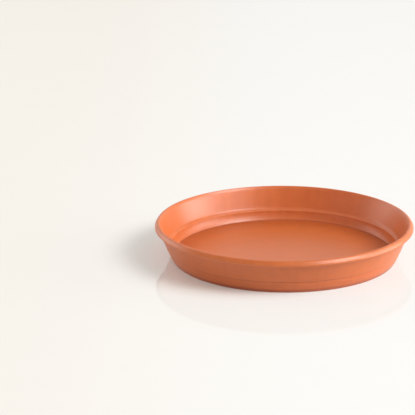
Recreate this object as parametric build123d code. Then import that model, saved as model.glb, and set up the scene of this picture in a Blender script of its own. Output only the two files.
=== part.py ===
from build123d import *
import os
from math import cos, radians, tan

# Round plant saucer, moulded in one piece: a thin leaning wall over a curved belly, with a turned-over lip.
# Millimetres and degrees. +Z is up, and the origin is the middle of the foot's plane.

# Overall size
rim_diameter = 220.0
height = 31.0

# Upper side wall, which leans outwards from upright
wall = 2.2
upper_lean = 21.0

# Belly, the lower side wall, which curves in from a small step to the foot
step_height = 10.7
step_width = 0.7
step_slope = 15.0
belly_inset = 4.7
belly_radius = 25.0

# Inside, a sloping ledge above the step, and a cove from its edge down to the floor
ledge_rise = 1.9
ledge_width = 2.0
ledge_slope = 42.0
ledge_root_radius = 4.0
cove_inset = 3.3
cove_radius = 16.5
floor_thickness = 2.0

# Lip, turned outwards and down over an open groove: a flat crown between two slopes, and an upright edge
lip_depth = 4.2
edge_height = 1.2
skirt_wall = 1.5
groove_width = 1.9
crown_lean = 31.0
crown_radius = 2.0
edge_radius = 0.8
mouth_radius = 0.4
flare_depth = 2.0

# Foot ring, which holds the base clear of the ground
foot_height = 0.8
foot_width = 4.5

# Stub left under the middle by the moulding gate
gate_diameter = 5.0
gate_height = 0.5

# Lip levels and radii
ground = 0.0
rim_radius = rim_diameter / 2
lip_bottom = height - lip_depth
edge_top = lip_bottom + edge_height
groove_top = height - wall
flare_level = height - flare_depth
skirt_inner_radius = rim_radius - skirt_wall
neck_radius = skirt_inner_radius - groove_width


def outer_radius(level):
    """Radius of the upper wall's outer face at a level."""
    return neck_radius + (level - lip_bottom) * tan(radians(upper_lean))


def inner_radius(level):
    """Radius of the upper wall's inner face at a level, one wall thickness inside the outer one."""
    return outer_radius(level) - wall / cos(radians(upper_lean))


# Corners of the crown, and the groove's outer corner, one skirt thickness inside the lip's faces
crown_slope = tan(radians(crown_lean))
crown_edge = (rim_radius - (height - edge_top) * crown_slope, height)
mouth_edge = (inner_radius(flare_level) + flare_depth * crown_slope, height)
mouth_root = (inner_radius(flare_level), flare_level)
groove_corner = (skirt_inner_radius, edge_top - skirt_wall * tan(radians(crown_lean) / 2))

# Corners of the step, where the upper wall overhangs the belly
step_top = step_height + step_width * tan(radians(step_slope))
step_edge = (outer_radius(step_top), step_top)
step_root = (outer_radius(step_top) - step_width, step_height)
belly_foot = (step_root[0] - belly_inset, ground)

# Corners of the ledge, and the edge of the floor below its cove
ledge_height = step_height + ledge_rise
floor_level = foot_height + floor_thickness
ledge_root = (inner_radius(ledge_height), ledge_height)
ledge_edge = (ledge_root[0] - ledge_width, ledge_height - ledge_width * tan(radians(ledge_slope)))
floor_edge = (ledge_edge[0] - cove_inset, floor_level)

# Foot and gate
foot_inner_radius = belly_foot[0] - foot_width
gate_radius = gate_diameter / 2
gate_bottom = foot_height - gate_height

# Radius of a corner that is left unrounded
sharp = 0.0


def section():
    """Half section of the saucer in the XZ plane, from the axis out to the lip and back."""
    underside = Polyline(
        (0.0, floor_level),
        (0.0, gate_bottom),
        (gate_radius, gate_bottom),
        (gate_radius, foot_height),
        (foot_inner_radius, foot_height),
        (foot_inner_radius, ground),
        belly_foot,
    )
    belly = RadiusArc(belly_foot, step_root, -belly_radius)
    outside = Polyline(
        step_root,
        step_edge,
        (outer_radius(groove_top), groove_top),
        groove_corner,
        (skirt_inner_radius, lip_bottom),
        (rim_radius, lip_bottom),
    )
    inside = FilletPolyline(
        (rim_radius, lip_bottom),
        (rim_radius, edge_top),
        crown_edge,
        mouth_edge,
        mouth_root,
        ledge_root,
        ledge_edge,
        radius=[edge_radius, crown_radius, mouth_radius, sharp, ledge_root_radius],
    )
    cove = RadiusArc(ledge_edge, floor_edge, cove_radius)
    floor = Line(floor_edge, (0.0, floor_level))
    return Plane.XZ * make_face(underside + belly + outside + inside + cove + floor)


saucer = revolve(section(), axis=Axis.Z)

os.makedirs("parts", exist_ok=True)
export_step(saucer, "parts/saucer.step")
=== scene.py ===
import logging
from dataclasses import dataclass, field
from enum import Enum
from math import asin, ceil, cos, hypot, pi, radians, sin, tan
from typing import Any, NamedTuple, Union

import bmesh
import bpy
from mathutils import Matrix, Vector


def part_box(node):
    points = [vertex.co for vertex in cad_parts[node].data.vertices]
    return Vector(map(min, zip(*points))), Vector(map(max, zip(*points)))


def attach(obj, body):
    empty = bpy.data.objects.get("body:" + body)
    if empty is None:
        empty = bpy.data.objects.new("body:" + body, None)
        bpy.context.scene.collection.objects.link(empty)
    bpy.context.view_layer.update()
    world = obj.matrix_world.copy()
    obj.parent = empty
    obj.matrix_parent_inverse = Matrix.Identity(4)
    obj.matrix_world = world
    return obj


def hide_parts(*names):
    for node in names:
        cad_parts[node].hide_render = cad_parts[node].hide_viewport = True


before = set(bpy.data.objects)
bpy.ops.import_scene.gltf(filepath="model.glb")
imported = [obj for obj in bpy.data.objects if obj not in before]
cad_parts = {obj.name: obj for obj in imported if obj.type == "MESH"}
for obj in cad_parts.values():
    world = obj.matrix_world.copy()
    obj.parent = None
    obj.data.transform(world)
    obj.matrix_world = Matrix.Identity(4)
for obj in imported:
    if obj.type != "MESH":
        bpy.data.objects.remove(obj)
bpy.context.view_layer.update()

# Round plant saucer of satin plastic, on a pale polished table among soft lamps.
# Metres and degrees. +Z is up, and the origin is the middle of the plane that the saucer stands on.

MM = 0.001
PHOTO_SIDE = 415

# Middle of a noise pattern and of a blend, which both run from 0 to 1
MIDDLE = 0.5

# Factor that makes x * (1 - x) average one between 0 and 1
DOME = 6.0

log = logging.getLogger("plant_saucer")

Colour = tuple[float, float, float]
Number = Union[float, "Value"]


class Rounding(Enum):
    """How a corner of the moulding is finished: its radius in metres."""

    NONE = 0.0
    CRISP = 0.2 * MM
    MOUTH = 0.4 * MM
    EASED = 0.5 * MM
    LIP_EDGE = 0.8 * MM
    CROWN = 2.0 * MM
    LEDGE_ROOT = 4.0 * MM
    COVE = 16.5 * MM
    BELLY = 25.0 * MM


class Corner(NamedTuple):
    """One corner of the half section: its distance from the axis, its height and its finish."""

    radius: float
    height: float
    rounding: Rounding = Rounding.NONE


def curved(start: Corner, end: Corner, rounding: Rounding) -> Corner:
    """Finds the corner that is rounded into a curved run from one corner to another.

    Args:
        start: the corner before the curved run.
        end: the corner after it.
        rounding: the run's own radius, with the run bulging to its right.

    Returns:
        The corner where the run's two end tangents cross.
    """
    out = end.radius - start.radius
    up = end.height - start.height
    bulge = tan(asin(hypot(out, up) / 2 / rounding.value)) / 2
    middle_radius = (start.radius + end.radius) / 2
    middle_height = (start.height + end.height) / 2
    return Corner(middle_radius + bulge * up, middle_height - bulge * out, rounding)


class Value:
    """A number that varies over a surface, held as the node socket that gives it."""

    def __init__(self, board: "NodeBoard", socket: bpy.types.NodeSocket) -> None:
        """Keeps the socket, and the board that takes the nodes of its sums."""
        self.board = board
        self.socket = socket

    def beside(self, output: str) -> "Value":
        """Another output of the same node."""
        return Value(self.board, self.socket.node.outputs[output])

    def __add__(self, other: Number) -> "Value":
        """This plus another."""
        return self.board.sum_of("ADD", self, other)

    def __radd__(self, other: Number) -> "Value":
        """Another plus this."""
        return self.board.sum_of("ADD", other, self)

    def __sub__(self, other: Number) -> "Value":
        """This less another."""
        return self.board.sum_of("SUBTRACT", self, other)

    def __rsub__(self, other: Number) -> "Value":
        """Another less this."""
        return self.board.sum_of("SUBTRACT", other, self)

    def __mul__(self, other: Number) -> "Value":
        """This times another."""
        return self.board.sum_of("MULTIPLY", self, other)

    def __rmul__(self, other: Number) -> "Value":
        """Another times this."""
        return self.board.sum_of("MULTIPLY", other, self)


class NodeBoard:
    """The node tree of one finish, with short ways to add its nodes."""

    def __init__(self, tree: bpy.types.NodeTree) -> None:
        """Starts with an empty tree."""
        self.tree = tree
        tree.nodes.clear()

    def add(
        self,
        kind: str,
        inputs: dict[str, Any] | None = None,
        settings: dict[str, Any] | None = None,
        output: str | None = None,
    ) -> Value:
        """Adds one node.

        Args:
            kind: the node's type.
            inputs: a value or a Value for each socket, by the socket's identifier.
            settings: the node's own settings, which are set first.
            output: identifier of the output to read, the first one if left out.

        Returns:
            The node's output.
        """
        node = self.tree.nodes.new(kind)
        for name, setting in (settings or {}).items():
            setattr(node, name, setting)
        sockets = {socket.identifier: socket for socket in node.inputs}
        for name, value in (inputs or {}).items():
            if isinstance(value, Value):
                self.tree.links.new(value.socket, sockets[name])
            else:
                sockets[name].default_value = value
        found = {socket.identifier: socket for socket in node.outputs}
        first = next(iter(found), None)
        return Value(self, found.get(output or first))

    def sum_of(self, operation: str, first: Number, second: Number) -> Value:
        """Adds a Math node for one operation on two numbers."""
        return self.add("ShaderNodeMath", {"Value": first, "Value_001": second}, {"operation": operation})

    def band(self, value: Value, low: float, high: float) -> Value:
        """Smooth step from 0 at low to 1 at high."""
        inputs = {"Value": value, "From Min": low, "From Max": high}
        return self.add("ShaderNodeMapRange", inputs, {"interpolation_type": "SMOOTHSTEP"})

    def blend(self, share: Number, first: Any, second: Any) -> Value:
        """Colour between two others, the first at share 0 and the second at share 1."""
        inputs = {"Factor_Float": share, "A_Color": first, "B_Color": second}
        return self.add("ShaderNodeMix", inputs, {"data_type": "RGBA"}, "Result_Color")

    def vector(self, operation: str, *vectors: Any, output: str = "Vector") -> Value:
        """Adds a Vector Math node for one operation on one or two vectors."""
        inputs = dict(zip(("Vector", "Vector_001"), vectors))
        return self.add("ShaderNodeVectorMath", inputs, {"operation": operation}, output)

    def noise(self, place: Value, size: float, detail: float = 2.0) -> Value:
        """Cloudy pattern about zero, whose patches are about so many metres across."""
        inputs = {"Vector": place, "Scale": 1 / size, "Detail": detail}
        return self.add("ShaderNodeTexNoise", inputs) - MIDDLE

    def close(self, shader: Value, kind: str = "ShaderNodeOutputMaterial") -> None:
        """Ends the tree in its output node."""
        self.add(kind, {"Surface": shader})


def full(colour: Colour) -> tuple[float, float, float, float]:
    """Colour with an opacity of one, as sockets take it."""
    return (*colour, 1.0)


@dataclass(frozen=True)
class SatinPlastic:
    """Moulded polypropylene, coloured through.

    It has a fine grain, a soft gloss, faint streaks where it flowed out from the gate and rubbed rings
    where pots stood. Its edges are painted lighter as a highlight and made glossier, its creases are
    painted darker as shade and made rougher, and its floor is painted darker towards its edge as shade.
    """

    deep_colour: Colour = (0.53, 0.112, 0.022)
    pale_colour: Colour = (0.735, 0.18, 0.04)
    # Lighter colour painted on the edges as a highlight
    edge_highlight_colour: Colour = (0.8, 0.33, 0.17)
    # Darker colour painted in the creases and round the floor's edge as shade
    crease_shade_colour: Colour = (0.33, 0.06, 0.012)
    roughness: float = 0.36
    refraction: float = 1.6

    # Grain, slight waves of the skin, and cloudy patches
    grain_size: float = 0.4 * MM
    grain_depth: float = 0.008 * MM
    grain_detail: float = 3.0
    grain_tone: float = 0.25
    wave_size: float = 16.0 * MM
    wave_depth: float = 0.12 * MM
    cloud_size: float = 9.0 * MM
    cloud_detail: float = 4.0
    cloud_tone: float = 0.5
    cloud_roughness: float = 0.12

    # Streaks of flow, which start clear of the gate
    flow_round: float = 16.0
    flow_outwards: float = 15.0
    flow_detail: float = 3.0
    flow_start: float = 5.0 * MM
    flow_full: float = 40.0 * MM
    flow_tone: float = 0.45
    flow_roughness: float = 0.1

    # Rubbed rings on the floor, which lies below a height
    floor_top: float = 3.2 * MM
    floor_fade: float = 0.2 * MM
    rub_round: float = 2.5
    rub_outwards: float = 800.0
    rub_inside: float = 40.0 * MM
    rub_inside_fade: float = 15.0 * MM
    rub_outside: float = 88.0 * MM
    rub_outside_fade: float = 5.0 * MM
    rub_faintest: float = 0.08
    rub_fullest: float = 0.2
    rub_depth: float = 0.002 * MM
    rub_tone: float = 0.12
    rub_roughness: float = 0.06

    # Painted shade: the floor darker towards its edge
    floor_shade_inside: float = 66.0 * MM
    floor_shade_outside: float = 94.0 * MM
    floor_shade_tone: float = 0.45
    floor_shade_share: float = 0.3

    # Edges painted lighter as a highlight and made glossier, creases painted darker as shade and made
    # rougher, both patchy
    edge_width: float = 0.7 * MM
    edge_cover: float = 0.7
    edge_highlight_share: float = 0.4
    edge_polish: float = 0.06
    crease_width: float = 1.1 * MM
    crease_cover: float = 0.8
    crease_shade_share: float = 0.5
    crease_roughness: float = 0.1

    def near(self, board: NodeBoard, section: Value, corners: list[Corner], width: float) -> Value:
        """Marks what lies near some corners of the half section.

        Args:
            board: the finish's nodes.
            section: distance from the axis and height of the point on the surface.
            corners: the corners.
            width: how far each mark reaches.

        Returns:
            One at a corner, falling to zero at the width.
        """
        found = 0.0
        for corner in corners:
            place = (corner.radius, 0.0, corner.height)
            away = board.vector("DISTANCE", section, place, output="Value")
            found = 1 - board.band(away, 0.0, width) + found
        return found

    def polar_noise(
        self, board: NodeBoard, flat: Value, reach: Value, round_scale: float, out_scale: float
    ) -> Value:
        """Pattern that changes at one rate round the axis and at another outwards from it.

        Args:
            board: the finish's nodes.
            flat: the point on the surface, seen from above.
            reach: its distance from the axis.
            round_scale: patches in one radian round the axis.
            out_scale: patches in one metre outwards.

        Returns:
            The pattern, about zero.
        """
        bearing = board.vector("NORMALIZE", flat)
        around = board.vector("MULTIPLY", bearing, (round_scale, round_scale, 0.0))
        outwards = board.add("ShaderNodeCombineXYZ", {"Z": reach * out_scale})
        return board.noise(board.vector("ADD", around, outwards), size=1.0, detail=self.flow_detail)

    def make(self, name: str, edges: list[Corner], creases: list[Corner]) -> bpy.types.Material:
        """Makes the material.

        Args:
            name: the material's name.
            edges: corners of the half section that stand out.
            creases: corners of the half section that lie in.

        Returns:
            The material.
        """
        material = bpy.data.materials.new(name)
        material.use_nodes = True
        board = NodeBoard(material.node_tree)
        place = board.add("ShaderNodeTexCoord", output="Object")
        height = board.add("ShaderNodeSeparateXYZ", {"Vector": place}, output="Z")
        flat = board.vector("MULTIPLY", place, (1.0, 1.0, 0.0))
        reach = board.vector("LENGTH", flat, output="Value")
        section = board.add("ShaderNodeCombineXYZ", {"X": reach, "Z": height})

        cloud = board.noise(place, self.cloud_size, self.cloud_detail)
        wave = board.noise(place, self.wave_size)
        grain = board.noise(place, self.grain_size, self.grain_detail)
        flow = self.polar_noise(board, flat, reach, self.flow_round, self.flow_outwards)
        flow = flow * board.band(reach, self.flow_start, self.flow_full)
        floor = 1 - board.band(height, self.floor_top - self.floor_fade, self.floor_top)
        inside = board.band(reach, self.rub_inside, self.rub_inside + self.rub_inside_fade)
        outside = board.band(reach, self.rub_outside - self.rub_outside_fade, self.rub_outside)
        rings = self.polar_noise(board, flat, reach, self.rub_round, self.rub_outwards)
        rub = inside * (1 - outside) * floor * board.band(rings, self.rub_faintest, self.rub_fullest)
        # Painted shade round the floor's edge, which also lowers the tone below
        floor_shade = floor * board.band(reach, self.floor_shade_inside, self.floor_shade_outside)
        edge = self.near(board, section, edges, self.edge_width) * (self.edge_cover + cloud)
        crease = self.near(board, section, creases, self.crease_width) * (self.crease_cover + cloud)

        tone = MIDDLE + self.cloud_tone * cloud + self.flow_tone * flow + self.grain_tone * grain
        tone = tone + self.rub_tone * rub - self.floor_shade_tone * floor_shade
        rough = self.roughness + self.cloud_roughness * cloud + self.flow_roughness * flow
        rough = rough + self.rub_roughness * rub - self.edge_polish * edge + self.crease_roughness * crease
        bumps = grain * self.grain_depth + wave * self.wave_depth - self.rub_depth * rub
        # Painted shade: darker in the creases and towards the floor's edge
        painted_shade = self.crease_shade_share * crease + self.floor_shade_share * floor_shade
        colour = board.blend(tone, full(self.deep_colour), full(self.pale_colour))
        # Painted highlight: the edges lighter, towards a pale colour
        colour = board.blend(self.edge_highlight_share * edge, colour, full(self.edge_highlight_colour))
        inputs = {
            "Base Color": board.blend(painted_shade, colour, full(self.crease_shade_colour)),
            "Roughness": rough,
            "IOR": self.refraction,
            "Normal": board.add("ShaderNodeBump", {"Height": bumps, "Distance": 1.0}),
        }
        board.close(board.add("ShaderNodeBsdfPrincipled", inputs))
        return material


@dataclass(frozen=True)
class TableTop:
    """Pale polished board, which mirrors the saucer and glows white for the camera and in reflections.

    The glow is painted dimmer and warmer to the left, as painted fall-off of the light. It is dimmer
    round the place where the saucer's shadow falls, which lets the real shadow show and is partly a
    painted shadow.
    """

    deep_colour: Colour = (0.82, 0.79, 0.73)
    pale_colour: Colour = (0.86, 0.83, 0.77)
    roughness: float = 0.05
    refraction: float = 1.6
    cloud_size: float = 40.0 * MM
    cloud_detail: float = 4.0
    cloud_roughness: float = 0.03
    speck_size: float = 1.5 * MM
    speck_roughness: float = 0.02

    # Painted white glow that it shows, dimmer and warmer to the left as painted fall-off of the light, and
    # less of it round the saucer's shadow, partly a painted shadow
    left_white: Colour = (0.96, 0.91, 0.83)
    right_white: Colour = (1.0, 0.99, 0.97)
    left_end: float = -0.3
    right_end: float = 0.05
    white_share: float = 0.62
    shade_share: float = 0.25
    shade_place: tuple[float, float, float] = (-0.04, 0.01, 0.0)
    shade_reach: float = 0.095
    white_reach: float = 0.13

    def make(self, name: str) -> bpy.types.Material:
        """Makes the material.

        Args:
            name: the material's name.

        Returns:
            The material.
        """
        material = bpy.data.materials.new(name)
        material.use_nodes = True
        board = NodeBoard(material.node_tree)
        place = board.add("ShaderNodeTexCoord", output="Object")
        cloud = board.noise(place, self.cloud_size, self.cloud_detail)
        speck = board.noise(place, self.speck_size)
        tone = MIDDLE + cloud + speck
        inputs = {
            "Base Color": board.blend(tone, full(self.deep_colour), full(self.pale_colour)),
            "Roughness": self.roughness + self.cloud_roughness * cloud + self.speck_roughness * speck,
            "IOR": self.refraction,
        }
        lit = board.add("ShaderNodeBsdfPrincipled", inputs)

        across = board.add("ShaderNodeSeparateXYZ", {"Vector": place})
        # Painted fall-off of light: the glow dimmer and warmer to the left
        right = board.band(across, self.left_end, self.right_end)
        white = board.blend(right, full(self.left_white), full(self.right_white))
        glow = board.add("ShaderNodeEmission", {"Color": white})
        # Painted shadow: less glow near a place left of the saucer, where its shadow falls
        away = board.vector("DISTANCE", place, self.shade_place, output="Value")
        clear = board.band(away, self.shade_reach, self.white_reach)
        clear = self.shade_share + (1 - self.shade_share) * clear
        ray = board.add("ShaderNodeLightPath", output="Is Camera Ray")
        seen = ray + ray.beside("Is Glossy Ray") + ray.beside("Is Transmission Ray")
        shaders = {"Fac": self.white_share * clear * seen, "Shader": lit, "Shader_001": glow}
        board.close(board.add("ShaderNodeMixShader", shaders))
        return material


@dataclass
class Saucer:
    """The moulded saucer: one thin skin of floor, stepped wall and turned-over lip, on a foot ring."""

    rim_radius: float
    height: float
    wall: float = 2.2 * MM
    upper_lean: float = radians(21.0)
    step_height: float = 10.7 * MM
    step_width: float = 0.7 * MM
    step_slope: float = radians(15.0)
    belly_inset: float = 4.7 * MM
    ledge_rise: float = 1.9 * MM
    ledge_width: float = 2.0 * MM
    ledge_slope: float = radians(42.0)
    cove_inset: float = 3.3 * MM
    floor_thickness: float = 2.0 * MM
    lip_depth: float = 4.2 * MM
    edge_height: float = 1.2 * MM
    skirt_wall: float = 1.5 * MM
    groove_width: float = 1.9 * MM
    crown_lean: float = radians(31.0)
    flare_depth: float = 2.0 * MM
    foot_height: float = 0.8 * MM
    foot_width: float = 4.5 * MM
    gate_radius: float = 2.5 * MM
    gate_height: float = 0.5 * MM
    sink_radius: float = 4.5 * MM
    sink_depth: float = 0.035 * MM
    sink_dish: float = 0.75

    # Fineness of the mesh, and the share of each rounding that keeps it clear of the next one
    turns: int = 300
    arc_step: float = radians(6.0)
    arc_share: float = 0.96
    row_pitch: float = 2.5 * MM
    merge_gap: float = 0.001 * MM
    finish: SatinPlastic = SatinPlastic()

    def outer_radius(self, height: float) -> float:
        """Radius of the upper wall's outer face at a height."""
        neck_radius = self.rim_radius - self.skirt_wall - self.groove_width
        return neck_radius + (height - self.height + self.lip_depth) * tan(self.upper_lean)

    def inner_radius(self, height: float) -> float:
        """Radius of the upper wall's inner face at a height."""
        return self.outer_radius(height) - self.wall / cos(self.upper_lean)

    def base_corners(self) -> list[Corner]:
        """Works out the underside.

        Returns:
            Corners from the axis out to the step: gate stub, recessed base, foot ring and belly.
        """
        step_top = self.step_height + self.step_width * tan(self.step_slope)
        step_edge = Corner(self.outer_radius(step_top), step_top, Rounding.CRISP)
        step_root = Corner(step_edge.radius - self.step_width, self.step_height, Rounding.CRISP)
        belly_foot = Corner(step_root.radius - self.belly_inset, 0.0, Rounding.CRISP)
        foot_inside = belly_foot.radius - self.foot_width
        gate_bottom = self.foot_height - self.gate_height
        return [
            Corner(0.0, gate_bottom),
            Corner(self.gate_radius, gate_bottom, Rounding.CRISP),
            Corner(self.gate_radius, self.foot_height, Rounding.CRISP),
            Corner(foot_inside, self.foot_height, Rounding.CRISP),
            Corner(foot_inside, 0.0, Rounding.CRISP),
            belly_foot,
            curved(belly_foot, step_root, Rounding.BELLY),
            step_root,
            step_edge,
        ]

    def lip_corners(self) -> list[Corner]:
        """Works out the turned-over lip.

        Returns:
            Corners from the groove under the lip, round the skirt and over the crown to the mouth.
        """
        lip_bottom = self.height - self.lip_depth
        edge_top = lip_bottom + self.edge_height
        groove_top = self.height - self.wall
        groove_side = edge_top - self.skirt_wall * tan(self.crown_lean / 2)
        skirt_inside = self.rim_radius - self.skirt_wall
        crown_edge = self.rim_radius - (self.height - edge_top) * tan(self.crown_lean)
        flare_height = self.height - self.flare_depth
        mouth_root = self.inner_radius(flare_height)
        mouth_edge = mouth_root + self.flare_depth * tan(self.crown_lean)
        return [
            Corner(self.outer_radius(groove_top), groove_top, Rounding.EASED),
            Corner(skirt_inside, groove_side, Rounding.EASED),
            Corner(skirt_inside, lip_bottom, Rounding.CRISP),
            Corner(self.rim_radius, lip_bottom, Rounding.CRISP),
            Corner(self.rim_radius, edge_top, Rounding.LIP_EDGE),
            Corner(crown_edge, self.height, Rounding.CROWN),
            Corner(mouth_edge, self.height, Rounding.MOUTH),
            Corner(mouth_root, flare_height, Rounding.CROWN),
        ]

    def bowl_corners(self) -> list[Corner]:
        """Works out the inside below the upper wall.

        Returns:
            Corners from the ledge down the cove and in over the floor to the sink mark above the gate.
        """
        ledge_height = self.step_height + self.ledge_rise
        ledge_drop = self.ledge_width * tan(self.ledge_slope)
        floor_height = self.foot_height + self.floor_thickness
        ledge_root = Corner(self.inner_radius(ledge_height), ledge_height, Rounding.LEDGE_ROOT)
        ledge_edge = Corner(ledge_root.radius - self.ledge_width, ledge_height - ledge_drop, Rounding.CRISP)
        floor_edge = Corner(ledge_edge.radius - self.cove_inset, floor_height, Rounding.CRISP)
        return [
            ledge_root,
            ledge_edge,
            curved(floor_edge, ledge_edge, Rounding.COVE),
            floor_edge,
            Corner(self.sink_radius, floor_height),
            Corner(self.sink_radius / 2, floor_height - self.sink_dish * self.sink_depth),
            Corner(0.0, floor_height - self.sink_depth),
        ]

    def corners(self) -> list[Corner]:
        """Half section, from the axis under the base out to the lip and back over the floor."""
        return self.base_corners() + self.lip_corners() + self.bowl_corners()

    def lines(self) -> tuple[list[Corner], list[Corner]]:
        """Sorts the tight corners, which show as lines round the saucer.

        Returns:
            The corners that stand out as edges, and those that lie in as creases.
        """
        corners = self.corners()
        edges, creases = [], []
        for before, corner, after in zip(corners, corners[1:], corners[2:]):
            left = (corner.radius - before.radius) * (after.height - corner.height)
            right = (corner.height - before.height) * (after.radius - corner.radius)
            if left > right and corner.rounding is Rounding.CRISP:
                edges.append(corner)
            if left < right and corner.rounding in (Rounding.CRISP, Rounding.EASED):
                creases.append(corner)
        return edges, creases

    def round_corners(self, shape: bmesh.types.BMesh) -> None:
        """Draws the half section as a wire and rounds its corners.

        Args:
            shape: the empty mesh that takes the wire.
        """
        corners = self.corners()
        points = [shape.verts.new((corner.radius, 0.0, corner.height)) for corner in corners]
        for start, end in zip(points, points[1:]):
            shape.edges.new((start, end))
        places = [point.co.copy() for point in points]
        for index in range(1, len(points) - 1):
            if corners[index].rounding is Rounding.NONE:
                continue
            before = places[index] - places[index - 1]
            after = places[index + 1] - places[index]
            turn = before.angle(after)
            bmesh.ops.bevel(
                shape,
                geom=[points[index]],
                offset=self.arc_share * corners[index].rounding.value * tan(turn / 2),
                offset_type="OFFSET",
                segments=ceil(turn / self.arc_step),
                profile=0.5,
                affect="VERTICES",
                clamp_overlap=False,
                material=-1,
            )

    def divide_runs(self, shape: bmesh.types.BMesh) -> None:
        """Divides the straight runs of the wire into rows.

        Args:
            shape: the mesh that holds the wire.
        """
        for edge in list(shape.edges):
            rows = ceil(edge.calc_length() / self.row_pitch)
            if rows > 1:
                bmesh.ops.subdivide_edges(shape, edges=[edge], cuts=rows - 1)

    def build(self) -> bpy.types.Object:
        """Turns the half section about the axis.

        Returns:
            The saucer as one closed, smooth mesh.
        """
        shape = bmesh.new()
        self.round_corners(shape)
        self.divide_runs(shape)
        bmesh.ops.spin(
            shape,
            geom=shape.verts[:] + shape.edges[:],
            cent=(0.0, 0.0, 0.0),
            axis=(0.0, 0.0, 1.0),
            angle=2 * pi,
            steps=self.turns,
            use_merge=True,
        )
        bmesh.ops.remove_doubles(shape, verts=shape.verts[:], dist=self.merge_gap)
        bmesh.ops.recalc_face_normals(shape, faces=shape.faces[:])
        for face in shape.faces:
            face.smooth = True
        mesh = bpy.data.meshes.new("saucer_shell")
        shape.to_mesh(mesh)
        shape.free()
        piece = bpy.data.objects.new("saucer_shell", mesh)
        bpy.context.scene.collection.objects.link(piece)
        return piece

    def dress(self, piece: bpy.types.Object) -> None:
        """Gives the saucer its finish and puts it in the place of the plain solid.

        Args:
            piece: the saucer's mesh.
        """
        edges, creases = self.lines()
        piece.data.materials.append(self.finish.make("terracotta_plastic", edges, creases))
        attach(piece, "root")
        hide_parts("saucer")


@dataclass(frozen=True)
class SoftBox:
    """A large soft lamp, turned towards the saucer, brightest in its middle and dark at its border.

    Its bearing goes round from the camera's side towards the right. Its sizes are the angles that
    it spans as the saucer sees it. Its level is the brightness that it gives to a white card that
    faces it.
    """

    name: str
    bearing: float
    rise: float
    width: float
    depth: float
    level: float
    distance: float = 3.0
    colour: Colour = (1.0, 1.0, 1.0)

    def grade(self, lamp: bpy.types.AreaLight) -> None:
        """Dims the lamp from its middle to its border, and keeps its whole light.

        Args:
            lamp: the lamp's data.
        """
        lamp.use_nodes = True
        board = NodeBoard(lamp.node_tree)
        place = board.add("ShaderNodeNewGeometry", output="Parametric")
        across = board.add("ShaderNodeSeparateXYZ", {"Vector": place})
        along = across.beside("Y")
        glow = DOME * across * (1 - across) * DOME * along * (1 - along)
        board.close(board.add("ShaderNodeEmission", {"Color": glow}), "ShaderNodeOutputLight")

    def hang(self) -> bpy.types.Object:
        """Hangs the lamp.

        Returns:
            The lamp, which the camera doesn't see.
        """
        bearing = radians(self.bearing)
        rise = radians(self.rise)
        towards = Vector((sin(bearing) * cos(rise), -cos(bearing) * cos(rise), sin(rise)))
        data = bpy.data.lights.new(self.name, "AREA")
        data.shape = "RECTANGLE"
        data.size = 2 * self.distance * tan(radians(self.width / 2))
        data.size_y = 2 * self.distance * tan(radians(self.depth / 2))
        data.energy = self.level * (pi * self.distance) ** 2
        data.color = self.colour
        self.grade(data)
        lamp = bpy.data.objects.new(self.name, data)
        lamp.location = towards * self.distance
        lamp.rotation_euler = (-towards).to_track_quat("-Z", "Y").to_euler()
        lamp.visible_camera = False
        bpy.context.scene.collection.objects.link(lamp)
        return lamp


def soft_boxes() -> list[SoftBox]:
    """Lists the studio's lamps.

    Returns:
        A key lamp and two low side lamps on the right, and three weak fills on the left.
    """
    warm = (1.0, 0.88, 0.76)
    return [
        SoftBox("key_lamp", bearing=62.0, rise=41.0, width=44.0, depth=34.0, level=0.78),
        SoftBox("side_lamp", bearing=93.0, rise=12.0, width=52.0, depth=26.0, level=0.52),
        SoftBox("low_lamp", bearing=93.0, rise=7.0, width=52.0, depth=15.5, level=0.2, distance=0.75),
        SoftBox(
            "fill_lamp", bearing=250.0, rise=12.0, width=52.0, depth=20.5,
            level=0.18, distance=1.6, colour=warm,
        ),
        SoftBox("high_lamp", bearing=240.0, rise=26.0, width=44.0, depth=22.0, level=0.09),
        SoftBox("left_lamp", bearing=300.0, rise=7.0, width=52.0, depth=15.5, level=0.13, colour=warm),
    ]


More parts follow.
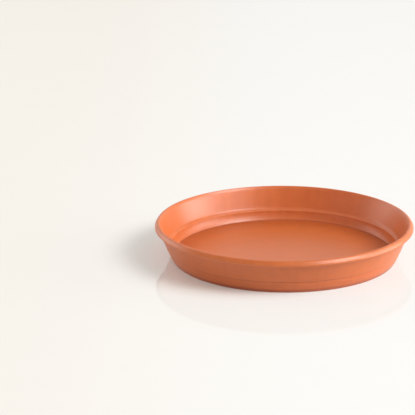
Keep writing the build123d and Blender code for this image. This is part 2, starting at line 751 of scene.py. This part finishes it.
@dataclass
class Studio:
    """Table, soft lamps, pale surroundings and camera."""

    table_side: float = 8.0
    lamps: list[SoftBox] = field(default_factory=soft_boxes)

    # Brightness of the room, with the directions' Y and Z between which one side turns into the next
    backdrop_level: float = 0.94
    ceiling_level: float = 0.5
    front_level: float = 0.22
    side_level: float = 0.12
    side_end: float = 0.3
    backdrop_start: float = 0.8
    wall_end: float = 0.3
    ceiling_start: float = 0.7

    camera_place: Vector = field(default_factory=lambda: Vector((0.0, -1465.4, 488.1)) * MM)
    camera_pitch: float = -16.902
    camera_yaw: float = 2.542
    camera_roll: float = -0.298
    focal_pixels: float = 1800.0
    finish: TableTop = TableTop()

    def lay_table(self) -> bpy.types.Object:
        """Lays the table that the saucer stands on.

        Returns:
            The table.
        """
        shape = bmesh.new()
        bmesh.ops.create_grid(shape, x_segments=1, y_segments=1, size=self.table_side / 2)
        mesh = bpy.data.meshes.new("table")
        shape.to_mesh(mesh)
        shape.free()
        table = bpy.data.objects.new("table", mesh)
        mesh.materials.append(self.finish.make("table_top"))
        bpy.context.scene.collection.objects.link(table)
        return table

    def light_surroundings(self) -> bpy.types.World:
        """Surrounds the table with a white backdrop behind it, a pale ceiling and a dim room.

        Returns:
            The world.
        """
        world = bpy.data.worlds.new("pale_surroundings")
        world.use_nodes = True
        bpy.context.scene.world = world
        board = NodeBoard(world.node_tree)
        towards = board.add("ShaderNodeTexCoord", output="Generated")
        back = board.add("ShaderNodeSeparateXYZ", {"Vector": towards}, output="Y")
        behind = board.band(back, self.side_end, self.backdrop_start)
        before = board.band(-1 * back, self.side_end, self.backdrop_start)
        above = board.band(back.beside("Z"), self.wall_end, self.ceiling_start)
        walls = self.side_level + (self.backdrop_level - self.side_level) * behind
        walls = walls + (self.front_level - self.side_level) * before
        level = walls + (self.ceiling_level - walls) * above
        board.close(board.add("ShaderNodeBackground", {"Color": level}), "ShaderNodeOutputWorld")
        return world

    def set_camera(self) -> bpy.types.Object:
        """Sets up the camera at the photograph's angle.

        Returns:
            The camera.
        """
        data = bpy.data.cameras.new("camera")
        data.lens = data.sensor_width * self.focal_pixels / PHOTO_SIDE
        camera = bpy.data.objects.new("camera", data)
        turn = Matrix.Rotation(radians(self.camera_yaw), 4, "Z")
        tip = Matrix.Rotation(pi / 2 + radians(self.camera_pitch), 4, "X")
        roll = Matrix.Rotation(radians(self.camera_roll), 4, "Z")
        camera.matrix_world = Matrix.Translation(self.camera_place) @ turn @ tip @ roll
        bpy.context.scene.collection.objects.link(camera)
        bpy.context.scene.camera = camera
        return camera

    def build(self) -> None:
        """Builds the whole studio."""
        self.lay_table()
        for lamp in self.lamps:
            lamp.hang()
        self.light_surroundings()
        self.set_camera()


def main() -> None:
    """Builds the saucer and its studio."""
    logging.basicConfig(level=logging.INFO)
    bpy.context.scene.view_settings.view_transform = "Standard"
    low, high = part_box("saucer")
    saucer = Saucer(rim_radius=high.x, height=high.z - low.z)
    shell = saucer.build()
    saucer.dress(shell)
    log.info("%s: %d faces", shell.name, len(shell.data.polygons))
    Studio().build()


if __name__ == "__main__":
    main()
